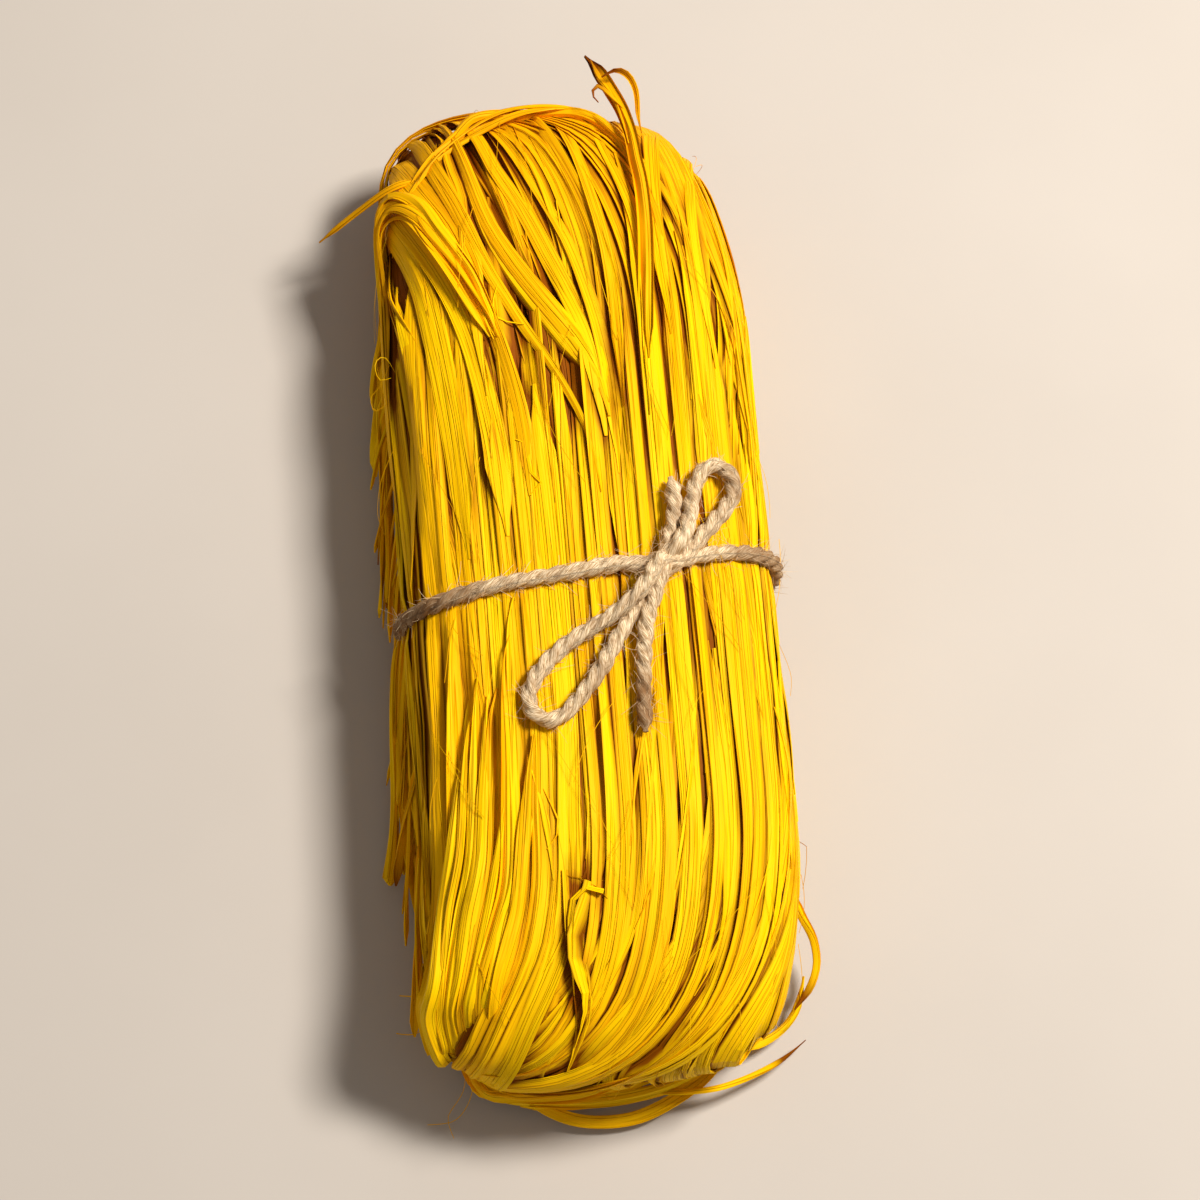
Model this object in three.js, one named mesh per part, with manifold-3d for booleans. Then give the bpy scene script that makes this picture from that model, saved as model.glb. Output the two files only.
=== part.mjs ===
// A hank of dyed raffia, folded round on itself and tied across the middle with jute twine.
// Millimetres. +Y runs along the hank, +Z is up, and the hank lies on the plane z = 0.
// Every point below is given from the middle of the hank's underside.
import * as THREE from "three";
import { mergeVertices } from "three/addons/utils/BufferGeometryUtils.js";
import Module from "manifold-3d";

const wasm = await Module();
wasm.setup();

// Driving sizes of the hank
const LENGTH = 205;
const WIDTH = 74;
const HEIGHT = 38;
const SETTLE = 1.5; // how far the round underside is pressed flat by its own weight
const SQUARENESS = 2.95; // 2 gives an elliptical cross-section, and more gives a boxier one
const EDGE = 0.985; // how near the outermost strands come to the rim of that section
const ENDS = 7; // 2 would make the side view an ellipse, and more gives it longer straight runs

// The strands lean to the left at both ends, by these shares of half the width
const LEAN_FAR_RIGHT = 0.33;
const LEAN_NEAR_RIGHT = 0.26;
const LEAN_FAR_LEFT = 0.1;
const LEAN_STARTS = 0.45; // share of half the length where the lean begins

// Driving sizes of the twine and the loose strands
const TWINE = 3;
const TWINE_SIDES = 8;
const TWINE_STEP = 5.5;
const GAP = 0.3;
const SLIVER = 0.03; // edges shorter than this are closed up
const TINY = 1e-6;
const STRAND_THICKNESS = 0.5;
const STRAND_STEP = 3;

const straw = (color) => new THREE.MeshStandardMaterial({ color, roughness: 0.5, metalness: 0 });
const RAFFIA = straw(0xedc40a);
const RAFFIA_SHADED = straw(0xb97806);
const RAFFIA_TIP = straw(0xa86a14);
const JUTE = new THREE.MeshStandardMaterial({ color: 0xc9a878, roughness: 0.9, metalness: 0 });

const vectors = (points) => points.map((point) => new THREE.Vector3(...point));
const smooth = (points, closed = false) =>
  new THREE.CatmullRomCurve3(vectors(points), closed, "centripetal");

// A closed geometry as a solid that can be joined to others or cut by them
function solid(geometry) {
  const bare = geometry.clone();
  bare.deleteAttribute("normal");
  bare.deleteAttribute("uv");
  const merged = mergeVertices(bare, 1e-4);
  return new wasm.Manifold(
    new wasm.Mesh({
      numProp: 3,
      vertProperties: new Float32Array(merged.attributes.position.array),
      triVerts: new Uint32Array(merged.index.array),
    }),
  );
}

// The largest body of a solid as a geometry, without the slivers that a cut leaves
function shape(body) {
  const parts = body.decompose();
  const largest = parts.reduce((best, part) => (part.volume() > best.volume() ? part : best));
  const mesh = largest.simplify(SLIVER).getMesh();
  const geometry = new THREE.BufferGeometry();
  geometry.setAttribute("position", new THREE.BufferAttribute(mesh.vertProperties, 3));
  geometry.setIndex(new THREE.BufferAttribute(mesh.triVerts, 1));
  return geometry;
}

const group = new THREE.Group();

function place(name, geometry, material) {
  const mesh = new THREE.Mesh(geometry, material.clone());
  mesh.name = name;
  group.add(mesh);
  return mesh;
}

// The wound strands. Each one runs round the hank like a belt round two rollers, so the bundle is
// a cylinder lying across the hank, with every ring of it drawn out into such a belt.
function bundle(grow = 0) {
  const around = 56;
  const across = 22;
  const radius = (HEIGHT + SETTLE) / 2;
  const middle = HEIGHT - radius;
  const straight = LENGTH / 2 - radius;
  const geometry = new THREE.CylinderGeometry(1, 1, 2, around, across);
  const at = geometry.attributes.position;
  for (let i = 0; i < at.count; i += 1) {
    const rank = Math.sin((at.getY(i) * Math.PI) / 2);
    const rise = at.getZ(i);
    const along = Math.abs(at.getX(i)) < TINY ? 0 : -at.getX(i);
    const belt = radius * (1 - Math.abs(EDGE * rank) ** SQUARENESS) ** (1 / SQUARENESS) + grow;
    const y = (straight + belt) * Math.sign(along) * Math.abs(along) ** (2 / ENDS);
    const z = Math.max(middle + belt * rise, -grow);
    const bend = (Math.max(Math.abs(y) / (LENGTH / 2) - LEAN_STARTS, 0) / (1 - LEAN_STARTS)) ** 2;
    const right = ((rank + 1) / 2) * bend * (y > 0 ? LEAN_FAR_RIGHT : LEAN_NEAR_RIGHT);
    const left = ((1 - rank) / 2) * bend * (y > 0 ? LEAN_FAR_LEFT : 0);
    at.setXYZ(i, (WIDTH / 2 + grow) * (rank - right + left), y, z);
  }
  return geometry;
}

// A round length of twine along a route
function twine(points, { closed = false, grow = 0 } = {}) {
  const route = smooth(points, closed);
  const radius = TWINE / 2 + grow;
  const section = new THREE.Shape();
  for (let side = 0; side < TWINE_SIDES; side += 1) {
    const turn = (2 * Math.PI * side) / TWINE_SIDES;
    section[side ? "lineTo" : "moveTo"](radius * Math.cos(turn), radius * Math.sin(turn));
  }
  const steps = Math.round(route.getLength() / TWINE_STEP);
  return new THREE.ExtrudeGeometry(section, { extrudePath: route, steps, bevelEnabled: false });
}

// A loose strand: a flat ribbon with a slight crown, turned about its route by a chosen angle
function strand(points, width, turn = 0) {
  const route = smooth(points);
  const half = STRAND_THICKNESS / 2;
  const outline = [
    [-width / 2, 0],
    [-width / 4, -half],
    [width / 4, -half],
    [width / 2, 0],
    [width / 4, half],
    [-width / 4, half],
  ];
  const angle = THREE.MathUtils.degToRad(turn);
  const section = new THREE.Shape(
    outline.map(([x, y]) => new THREE.Vector2(x, y).rotateAround(new THREE.Vector2(), angle)),
  );
  const steps = Math.max(6, Math.round(route.getLength() / STRAND_STEP));
  return new THREE.ExtrudeGeometry(section, { extrudePath: route, steps, bevelEnabled: false });
}

// A lock of strands folded back on itself: a ball pulled out to its size and turned about +Z
function lock(centre, size, turn) {
  const geometry = new THREE.SphereGeometry(0.5, 20, 14);
  geometry.scale(...size);
  geometry.rotateZ(THREE.MathUtils.degToRad(turn));
  geometry.translate(...centre);
  return geometry;
}

// The routes of the twine, from the middle of the hank's underside
const KNOT_AT = [11.8, -4.6, 41];
const KNOT_SIZE = [8.6, 6.2, 5.6];
const BAND_ROUTE = [
  [11.8, -4, 39.2], [4, -3.5, 39.2], [-4, -4.5, 39], [-11, -5.3, 38.6], [-18, -6, 38],
  [-25, -7, 36.4], [-31, -8, 33.6], [-35.5, -8.2, 28], [-37.8, -7.8, 20], [-36.5, -7, 11],
  [-32, -6, 5], [-25, -5.2, 2.2], [-16, -4.6, 1.8], [-5, -4, 1.8], [6, -3.4, 1.8],
  [17, -2.8, 1.8], [26, -2.2, 2.3], [33, -1.4, 5.4], [37, -0.8, 11.5], [38, -0.4, 19.5],
  [36, -0.2, 27.5], [31.6, -0.6, 33.2], [26, -1.2, 36.3], [19.5, -2.2, 38.2],
];
const FAR_LOOP_ROUTE = [
  [14, -4.4, 42.4], [16.6, 0.2, 42.4], [18.6, 5.2, 40.9], [19.8, 10, 39.6], [21.2, 13.8, 39],
  [23.6, 16.2, 38.5], [26.4, 16.2, 37.8], [28.3, 13.8, 37.3], [28.2, 10.8, 37.2],
  [26.5, 7.8, 37.6], [24.1, 5, 38.2], [21.3, 2, 38.8], [18.4, -1.2, 39.2], [14.5, -4.6, 39.3],
];
const NEAR_LOOP_ROUTE = [
  [10.8, -5.6, 42.8], [8, -9.6, 43], [5, -12.4, 42.3], [1.2, -14.9, 41], [-3, -17, 40.1],
  [-8, -20, 39.6], [-12.4, -24, 39.3], [-15.2, -28.2, 39], [-15.4, -31.8, 38.9],
  [-13.4, -34.2, 39], [-10.4, -34.4, 39.2], [-7.4, -32.2, 39.4], [-4, -28.4, 39.5],
  [-1, -24.6, 39.6], [1.4, -20.6, 39.7], [4, -16.6, 39.6], [6.8, -12.4, 39.5], [11, -6.5, 39.4],
];
const LONG_TAIL_ROUTE = [
  [12, -6, 40.6], [10.4, -10.4, 40.4], [8.6, -15, 40], [7.6, -21, 39.6], [7, -27, 39.4],
  [6.5, -33, 39.3], [6.4, -38, 39.2],
];
const SHORT_TAIL_ROUTE = [
  [12.4, -4, 41], [14, 0, 40.4], [15.2, 3.6, 39.8], [16, 8, 39.5], [15.8, 14, 39.4],
];

const knot = (grow = 0) => {
  const geometry = new THREE.SphereGeometry(0.5, 16, 12);
  geometry.scale(...KNOT_SIZE.map((size) => size + 2 * grow));
  geometry.translate(...KNOT_AT);
  return solid(geometry);
};

// The twine pieces in the order they are laid: each one stops short of those made before it
const laid = [
  ["twine_band", BAND_ROUTE, true],
  ["twine_near_loop", NEAR_LOOP_ROUTE, false],
  ["twine_far_loop", FAR_LOOP_ROUTE, false],
  ["twine_long_tail", LONG_TAIL_ROUTE, false],
  ["twine_short_tail", SHORT_TAIL_ROUTE, false],
];
let taken = knot(GAP);
for (const [name, points, closed] of laid) {
  place(name, shape(solid(twine(points, { closed })).subtract(taken)), JUTE);
  taken = taken.add(solid(twine(points, { closed, grow: GAP })));
}
place("twine_knot", shape(knot()), JUTE);

// The bundle gives way to the twine that is drawn tight round it
place("wound_strands", shape(solid(bundle()).subtract(taken)), RAFFIA);

// Locks and loose strands that stand clear of the bundle
const LOOSE = [
  ["far_spike", 4, 0, RAFFIA,
    [[15, 84, 37], [14.6, 90, 36.2], [13.6, 96, 35], [12, 101, 33.8], [10, 106, 32.6], [7.2, 110.5, 32]]],
  ["far_curl", 2.4, 20, RAFFIA,
    [[17.4, 97, 30], [17.6, 101, 33.5], [16, 104.5, 36], [12.6, 105.4, 37.4], [9.6, 103.4, 37]]],
  ["far_left_tip", 2.6, 60, RAFFIA,
    [[-30.5, 84.5, 30], [-36, 83.4, 26.5], [-40.5, 82, 22], [-45, 80.4, 17.5], [-49, 78.6, 14]]],
  ["near_loop_strand", 3.4, 90, RAFFIA,
    [[-20.5, -99.4, 9], [-15, -102.8, 5.6], [-9.6, -105, 3.6], [-3.6, -105.8, 2.8],
      [3.4, -105.2, 2.8], [10.4, -102.6, 4], [16.6, -99.2, 6.5]]],
  ["near_tip_strand", 2.4, 90, RAFFIA_TIP,
    [[4.6, -101.4, 9], [10.6, -102, 8.2], [18.4, -101.4, 6.6], [26, -99, 5.2], [32.4, -96, 4.2],
      [37.4, -92.4, 4]]],
  ["right_loop_strand", 2.2, 20, RAFFIA,
    [[37.6, -69, 12], [40, -73, 9], [40.6, -78, 7], [38.8, -82.6, 6], [35.6, -86.4, 5.4]]],
  ["left_end_far", 2.6, 70, RAFFIA_SHADED,
    [[-38.4, 40, 13], [-39.2, 28, 11], [-39.6, 16, 9], [-40.4, 6, 7], [-41.2, -1, 5.6]]],
  ["left_end_middle", 2.2, 70, RAFFIA_SHADED,
    [[-38.6, 30, 8], [-39, 18, 6.6], [-38.8, 8, 5.4], [-38.4, 0, 4.4]]],
  ["left_end_long", 3, 70, RAFFIA_SHADED,
    [[-38.6, -12, 12], [-39.6, -24, 9.6], [-40.2, -36, 7.6], [-41, -47, 5.8], [-42.4, -56.5, 4]]],
  ["left_end_near", 2.6, 70, RAFFIA_SHADED,
    [[-38.4, -40, 7.6], [-38.4, -50, 6], [-37.6, -60, 4.4], [-35.8, -68.6, 3]]],
];
const room = solid(bundle(GAP));
for (const [name, width, turn, material, points] of LOOSE) {
  place(name, shape(solid(strand(points, width, turn)).subtract(room)), material);
}
const fold = lock([-31, -92.5, 16], [13, 19, 16], -12);
place("near_left_fold", shape(solid(fold).subtract(room)), RAFFIA);

// The hank stands with its origin under the middle of the strands' own box
const strands = new THREE.Box3();
for (const mesh of group.children) {
  if (!mesh.name.startsWith("twine")) {
    strands.expandByObject(mesh);
  }
}
const middle = strands.getCenter(new THREE.Vector3());
group.position.set(-middle.x, -middle.y, 0);

export default group;
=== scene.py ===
# %% [markdown]
# # A hank of yellow raffia, tied with jute twine
# Raffia is the dried skin of a palm leaf, torn into long flat strips. Some hundreds of strips are wound
# lengthwise into a bundle, and a length of jute twine is tied round its middle in a bow.
# This file models every strip as a thin closed ribbon, in metres, round a frame that is already fixed.

# %% Load the frame
import math

import bmesh
import bpy
import numpy as np
from mathutils import Matrix, Vector, kdtree


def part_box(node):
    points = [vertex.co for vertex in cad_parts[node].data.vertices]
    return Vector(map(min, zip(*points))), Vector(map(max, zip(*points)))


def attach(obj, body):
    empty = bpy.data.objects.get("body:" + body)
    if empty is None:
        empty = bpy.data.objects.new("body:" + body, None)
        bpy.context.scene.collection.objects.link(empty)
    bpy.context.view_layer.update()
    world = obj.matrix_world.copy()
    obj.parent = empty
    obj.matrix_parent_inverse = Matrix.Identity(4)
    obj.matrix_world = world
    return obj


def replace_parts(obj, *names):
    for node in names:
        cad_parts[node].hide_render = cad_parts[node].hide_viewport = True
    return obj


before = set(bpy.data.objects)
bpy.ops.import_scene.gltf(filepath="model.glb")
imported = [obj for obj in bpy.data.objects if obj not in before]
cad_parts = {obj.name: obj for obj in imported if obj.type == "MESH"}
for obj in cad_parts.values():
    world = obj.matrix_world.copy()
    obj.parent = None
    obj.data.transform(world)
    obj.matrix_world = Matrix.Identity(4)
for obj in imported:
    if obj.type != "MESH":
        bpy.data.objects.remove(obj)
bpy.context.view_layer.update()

MM = 0.001
scene = bpy.context.scene
low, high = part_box("wound_strands")
LENGTH, WIDTH, HEIGHT = high.y - low.y, high.x - low.x, high.z
HANK = np.array([(low.x + high.x) / 2, (low.y + high.y) / 2, 0.0])  # middle of the bundle's underside
print(f"bundle {LENGTH / MM:.0f} x {WIDTH / MM:.0f} x {HEIGHT / MM:.0f} mm")

# %% [markdown]
# The camera looks down steeply from the near left, and is rolled so that the hank's far end leans a little
# to the left in the picture. Its lens is worked out from how many millimetres the picture spans.

# %% Camera
AZIMUTH, ELEVATION = math.radians(-20), math.radians(70)
LEAN = math.radians(4.91)
DISTANCE = 0.75
PICTURE_SPANS = 0.24
AIM = Vector(HANK) + Vector((2.3, -3.9, 19)) * MM

back = Vector((
    math.sin(AZIMUTH) * math.cos(ELEVATION),
    -math.cos(AZIMUTH) * math.cos(ELEVATION),
    math.sin(ELEVATION),
))
level = Vector((math.cos(AZIMUTH), math.sin(AZIMUTH), 0))
upright = back.cross(level)
roll = math.atan2(level.y, upright.y) + LEAN
right = math.cos(roll) * level - math.sin(roll) * upright
top = math.sin(roll) * level + math.cos(roll) * upright

camera = bpy.data.objects.new("camera", bpy.data.cameras.new("camera"))
camera.data.lens = camera.data.sensor_width * DISTANCE / PICTURE_SPANS
turned = Matrix((right, top, back)).transposed().to_4x4()
camera.matrix_world = Matrix.Translation(AIM + back * DISTANCE) @ turned
scene.collection.objects.link(camera)
scene.camera = camera
print(f"lens {camera.data.lens:.1f} mm")

# %% [markdown]
# The twine is one length of cord. It starts at the tip of the short tail, goes into the knot, out round the
# far loop and back, round the whole bundle, out round the near loop, and ends at the tip of the long tail.
# The points are listed along the real route, and a smooth curve is drawn through them.

# %% Route of the twine
TWINE = 3 * MM
SHORT_TAIL = [
    (0.0158, 0.014, 0.0394), (0.016, 0.008, 0.0395), (0.0152, 0.0036, 0.0398), (0.014, 0, 0.0404),
    (0.0122, -0.0042, 0.0412),
]
TURN_UNDER = [(0.0094, -0.0068, 0.0404), (0.0092, -0.0046, 0.039), (0.0114, -0.0032, 0.0396)]
FAR_LOOP = [
    (0.014, -0.0022, 0.0418), (0.0166, 0.0002, 0.0424), (0.0186, 0.0052, 0.0409), (0.0198, 0.01, 0.0396),
    (0.0212, 0.0138, 0.039), (0.0236, 0.0162, 0.0385), (0.0264, 0.0162, 0.0378), (0.0283, 0.0138, 0.0373),
    (0.0282, 0.0108, 0.0372), (0.0265, 0.0078, 0.0376), (0.0241, 0.005, 0.0382), (0.0213, 0.002, 0.0388),
    (0.0184, -0.0012, 0.0392), (0.0145, -0.0046, 0.0394),
]
BAND = [
    (0.0118, -0.004, 0.0392), (0.004, -0.0035, 0.0392), (-0.004, -0.0045, 0.039), (-0.011, -0.0053, 0.0386),
    (-0.018, -0.006, 0.038), (-0.025, -0.007, 0.0364), (-0.031, -0.008, 0.0336), (-0.0355, -0.0082, 0.028),
    (-0.0378, -0.0078, 0.02), (-0.0365, -0.007, 0.011), (-0.032, -0.006, 0.005), (-0.025, -0.0052, 0.0022),
    (-0.016, -0.0046, 0.0018), (-0.005, -0.004, 0.0018), (0.006, -0.0034, 0.0018), (0.017, -0.0028, 0.0018),
    (0.026, -0.0022, 0.0023), (0.033, -0.0014, 0.0054), (0.037, -0.0008, 0.0115), (0.038, -0.0004, 0.0195),
    (0.036, -0.0002, 0.0275), (0.0316, -0.0006, 0.0332), (0.026, -0.0012, 0.0363), (0.0195, -0.0022, 0.0382),
]
THROUGH = [(0.0146, -0.0038, 0.0404), (0.012, -0.0036, 0.0424)]
NEAR_LOOP = [
    (0.0108, -0.0056, 0.0428), (0.008, -0.0096, 0.043), (0.005, -0.0124, 0.0423), (0.0012, -0.0149, 0.041),
    (-0.003, -0.017, 0.0401), (-0.008, -0.02, 0.0396), (-0.0124, -0.024, 0.0393), (-0.0152, -0.0282, 0.039),
    (-0.0154, -0.0318, 0.0389), (-0.0134, -0.0342, 0.039), (-0.0104, -0.0344, 0.0392),
    (-0.0074, -0.0322, 0.0394), (-0.004, -0.0284, 0.0395), (-0.001, -0.0246, 0.0396),
    (0.0014, -0.0206, 0.0397), (0.004, -0.0166, 0.0396),
    (0.0068, -0.0124, 0.0395), (0.011, -0.0065, 0.0394),
]
TURN_OVER = [(0.0138, -0.0046, 0.0402), (0.0132, -0.005, 0.0414)]
LONG_TAIL = [
    (0.0118, -0.0068, 0.0412), (0.0104, -0.0104, 0.0404), (0.0086, -0.015, 0.04), (0.0076, -0.021, 0.0396),
    (0.007, -0.027, 0.0394), (0.0065, -0.033, 0.0393), (0.0064, -0.038, 0.0392),
]
ROUTE = SHORT_TAIL + TURN_UNDER + FAR_LOOP + BAND + THROUGH + NEAR_LOOP + TURN_OVER + LONG_TAIL
ROUTE = np.array(ROUTE) + HANK


def smooth_line(points, step, passes=3):
    """Points a step apart along the smooth curve through some points."""
    line = np.asarray(points, float)
    for _ in range(passes):
        before = np.vstack([2 * line[0] - line[1], line[:-1]])
        after = np.vstack([line[1:], 2 * line[-1] - line[-2]])
        later = np.vstack([after[1:], 2 * line[-1] - line[-2]])
        halves = (9 * (line + after) - before - later) / 16
        doubled = np.empty((2 * len(line) - 1, line.shape[1]))
        doubled[0::2] = line
        doubled[1::2] = halves[:-1]
        line = doubled
    gone = np.concatenate([[0], np.cumsum(np.linalg.norm(np.diff(line, axis=0), axis=1))])
    even = np.linspace(0, gone[-1], max(2, round(gone[-1] / step) + 1))
    return np.stack([np.interp(even, gone, column) for column in line.T], 1), gone[-1]


twine_line, _ = smooth_line(ROUTE, 0.6 * MM)
for _ in range(40):
    between = (twine_line[:-2] + twine_line[2:]) / 2 - twine_line[1:-1]
    tight = np.linalg.norm(between, axis=1, keepdims=True) > 0.07 * MM
    twine_line[1:-1] += 0.5 * between * tight
twine_line, twine_length = smooth_line(twine_line, 0.6 * MM, passes=0)
print(f"twine {twine_length * 1000:.0f} mm long, {len(twine_line)} points")

# %% [markdown]
# Shader maths reads best as sums. This small class wraps a node's output, and its operators add Math nodes.

# %% Node sums
class Value:
    """The output of a shader node, which can be used in a sum."""

    def __init__(self, tree, socket):
        self.tree = tree
        self.socket = socket

    def math(self, operation, first, second):
        return self.tree.node("ShaderNodeMath", {"operation": operation}, {0: first, 1: second})

    def __add__(self, other):
        return self.math("ADD", self, other)

    def __sub__(self, other):
        return self.math("SUBTRACT", self, other)

    def __rsub__(self, other):
        return self.math("SUBTRACT", other, self)

    def __mul__(self, other):
        return self.math("MULTIPLY", self, other)

    __radd__ = __add__
    __rmul__ = __mul__


# %% [markdown]
# A finish is a shader with nodes in front of it. All of them come from one method, which takes a node's
# type, its settings and its inputs, so a material reads like a recipe.

# %% Finishes
class Finish:
    """A material made of nodes. Every node but the Math nodes of a sum comes from node()."""

    def __init__(self, name, **constants):
        self.material = bpy.data.materials.new(name)
        self.material.use_nodes = True
        self.nodes = self.material.node_tree.nodes
        self.links = self.material.node_tree.links
        self.shader = self.nodes["Principled BSDF"]
        for socket, value in constants.items():
            self.shader.inputs[socket.replace("_", " ")].default_value = value

    def node(self, kind, settings=None, inputs=None, output=0):
        node = self.nodes.new(kind)
        for name, value in (settings or {}).items():
            setattr(node, name, value)
        for name, value in (inputs or {}).items():
            self.feed(node.inputs[name], value)
        return Value(self, node.outputs[output])

    def feed(self, socket, value):
        if isinstance(value, Value):
            self.links.new(value.socket, socket)
        else:
            socket.default_value = value

    def mix(self, factor, first, second):
        """One colour over another."""
        inputs = {"Factor": factor, "A": first, "B": second}
        return self.node("ShaderNodeMix", {"data_type": "RGBA"}, inputs, output="Result")

    def noise(self, vector, scale, detail=2.0, roughness=0.5):
        inputs = {"Vector": vector, "Scale": scale, "Detail": detail, "Roughness": roughness}
        return self.node("ShaderNodeTexNoise", {}, inputs)

    def finish(self, colour, roughness, height, depth):
        """Feed the shader: colour, roughness, and a bump of a depth in metres."""
        self.feed(self.shader.inputs["Base Color"], colour)
        self.feed(self.shader.inputs["Roughness"], roughness)
        bump = self.node("ShaderNodeBump", {}, {"Height": height, "Distance": depth, "Strength": 1.0})
        self.feed(self.shader.inputs["Normal"], bump)
        return self.material


def ramp(value, low_end, high_end):
    """0 below the low end, 1 above the high end, and even between."""
    inputs = {"Value": value, "From Min": low_end, "From Max": high_end}
    return value.tree.node("ShaderNodeMapRange", {"clamp": True}, inputs)


# %% [markdown]
# Every strip and cord here is a closed tube: flat for a strip, round for a cord. One straight tube of each
# size is made with operators, by extruding a circle step by step. Its copies are then laid along their own
# paths and joined, because a thousand separate objects would be slow to make and to keep.

# %% Tubes
def straight_tube(sides, steps):
    """Faces of a closed tube whose vertex number is its step times sides plus its place in the ring."""
    tube = bmesh.new()
    ring = bmesh.ops.create_circle(tube, segments=sides, radius=1, cap_ends=True)["verts"]
    edges = list(tube.edges)
    for _ in range(steps - 1):
        grown = bmesh.ops.extrude_edge_only(tube, edges=edges)["geom"]
        ring = [item for item in grown if isinstance(item, bmesh.types.BMVert)]
        kept = set(ring)
        edges = [e for e in grown if isinstance(e, bmesh.types.BMEdge) and kept.issuperset(e.verts)]
        bmesh.ops.translate(tube, verts=ring, vec=(0, 0, 1))
    bmesh.ops.contextual_create(tube, geom=edges)
    bmesh.ops.recalc_face_normals(tube, faces=tube.faces)
    numbers = {}
    for vert in tube.verts:
        turn = (math.atan2(vert.co.y, vert.co.x) / (2 * math.pi) - 0.25) % 1
        numbers[vert] = round(vert.co.z) * sides + round(turn * sides) % sides
    faces = [[numbers[vert] for vert in face.verts] for face in tube.faces]
    tube.free()
    return faces


TUBES = {}


def tube_faces(sides, steps):
    """Corners and face sizes of a straight tube, made once for each size."""
    if (sides, steps) not in TUBES:
        faces = straight_tube(sides, steps)
        TUBES[sides, steps] = (
            np.array([corner for face in faces for corner in face]),
            np.array([len(face) for face in faces]),
        )
    return TUBES[sides, steps]


# %% [markdown]
# A piece is many tubes in one mesh. Each tube brings a tint of its own and a share of painted shade and
# brown, and the finishes read both from the mesh.

# %% Pieces of many tubes
def joined_tubes(name, tubes, material, slot, sharp=18.0):
    """One piece of many tubes: sections, UVs (both by steps and sides), tint, and a share of painted shade
    and brown.
    """
    places, corners, sizes, uvs, tints, shade_and_brown = [], [], [], [], [], []
    count = 0
    # depth here is the tube's share of painted shade and brown, not a depth below the skin.
    for sections, uv, tint, depth in tubes:
        steps, sides = sections.shape[:2]
        tube_corners, tube_sizes = tube_faces(sides, steps)
        places.append(sections.reshape(-1, 3))
        corners.append(tube_corners + count)
        sizes.append(tube_sizes)
        uvs.append(uv.reshape(-1, 2)[tube_corners])
        tints.append(np.broadcast_to(tint, (steps, sides)).ravel())
        shade_and_brown.append(np.broadcast_to(depth, (steps, sides)).ravel())
        count += steps * sides
    places, corners, sizes = np.vstack(places), np.concatenate(corners), np.concatenate(sizes)
    mesh = bpy.data.meshes.new(name)
    mesh.vertices.add(len(places))
    mesh.vertices.foreach_set("co", places.astype(np.float32).ravel())
    mesh.loops.add(len(corners))
    mesh.loops.foreach_set("vertex_index", corners.astype(np.int32))
    mesh.polygons.add(len(sizes))
    mesh.polygons.foreach_set("loop_start", (np.cumsum(sizes) - sizes).astype(np.int32))
    mesh.uv_layers.new(name="Strip").uv.foreach_set("vector", np.vstack(uvs).astype(np.float32).ravel())
    for label, values in (("tint", tints), ("shade_and_brown", shade_and_brown)):
        layer = mesh.attributes.new(label, "FLOAT", "POINT")
        layer.data.foreach_set("value", np.concatenate(values).astype(np.float32))
    mesh.update(calc_edges=True)
    mesh.polygons.foreach_set("use_smooth", np.ones(len(sizes), bool))
    mesh.set_sharp_from_angle(angle=math.radians(sharp))
    mesh.materials.append(material)
    piece = bpy.data.objects.new(name, mesh)
    scene.collection.objects.link(piece)
    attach(piece, "root")
    print(f"{name}: {len(tubes)} tubes, {int((sizes - 2).sum())} triangles")
    return piece


def directions(line):
    """Along a line, and two directions across it that don't spin about it."""
    forward = np.gradient(line, axis=0)
    forward /= np.linalg.norm(forward, axis=1, keepdims=True)
    side = np.cross(forward[0], [0.0, 0.0, 1.0])
    sides = np.empty_like(line)
    for number, ahead in enumerate(forward):
        side = side - ahead * (side @ ahead)
        side /= np.linalg.norm(side)
        sides[number] = side
    return forward, sides, np.cross(sides, forward)


# %% [markdown]
# Jute twine is three plies twisted together. The section of the cord is three overlapping circles, and it
# turns a little at each step, so the grooves between the plies wind round the cord as on the real one.

# %% Twine
PLIES = 3
PLY_RADIUS, PLY_OFFSET = 0.92 * MM, 0.76 * MM
TWIST = 12 * MM
SIDES = 30
rng = np.random.default_rng(11)


def ply_radius(angles):
    """Distance from the middle of the cord to the outside of the nearest ply."""
    reach = np.zeros_like(angles)
    for ply in range(PLIES):
        away = angles - 2 * math.pi * ply / PLIES
        chord = np.clip(PLY_RADIUS**2 - (PLY_OFFSET * np.sin(away)) ** 2, 0, None)
        reach = np.maximum(reach, PLY_OFFSET * np.cos(away) + np.sqrt(chord))
    return reach


def ring(sides):
    """Angles round a cord, in the order that makes the faces of its tube point outwards."""
    return 2 * math.pi * np.arange(sides)[::-1] / sides


def round_tube(line, radius, angles):
    """Sections of a tube along a line: radius (steps, sides) or a number, angles (sides)."""
    _, side, up = directions(line)
    radius = np.broadcast_to(radius, (len(line), len(angles)))
    spoke = np.cos(angles)[None, :, None] * side[:, None] + np.sin(angles)[None, :, None] * up[:, None]
    return line[:, None] + radius[:, :, None] * spoke


turns = ring(SIDES)
gone = np.arange(len(twine_line)) * twine_length / (len(twine_line) - 1)
winding = turns[None, :] - 2 * math.pi * gone[:, None] / TWIST
uneven = 1 + 0.05 * np.sin(gone * 2 * math.pi / (31 * MM) + 1)[:, None]
uneven = uneven + 0.02 * rng.standard_normal((len(gone), 1))
frayed = np.clip(np.minimum(gone, gone[-1] - gone) / (2 * MM), 0.35, 1)[:, None]
twine_sections = round_tube(twine_line, ply_radius(winding) * uneven * frayed, turns)
GIRTH = 9 * MM  # once round the cord, along its plies
twine_uv = np.stack(np.broadcast_arrays(winding / (2 * math.pi) * GIRTH, gone[:, None]), -1)

# %% [markdown]
# Jute is pale, with darker fibres along the cord, a few stains, and brown stretches where it is rubbed: low
# on both sides of the bundle and at the tip of the long tail.

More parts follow.
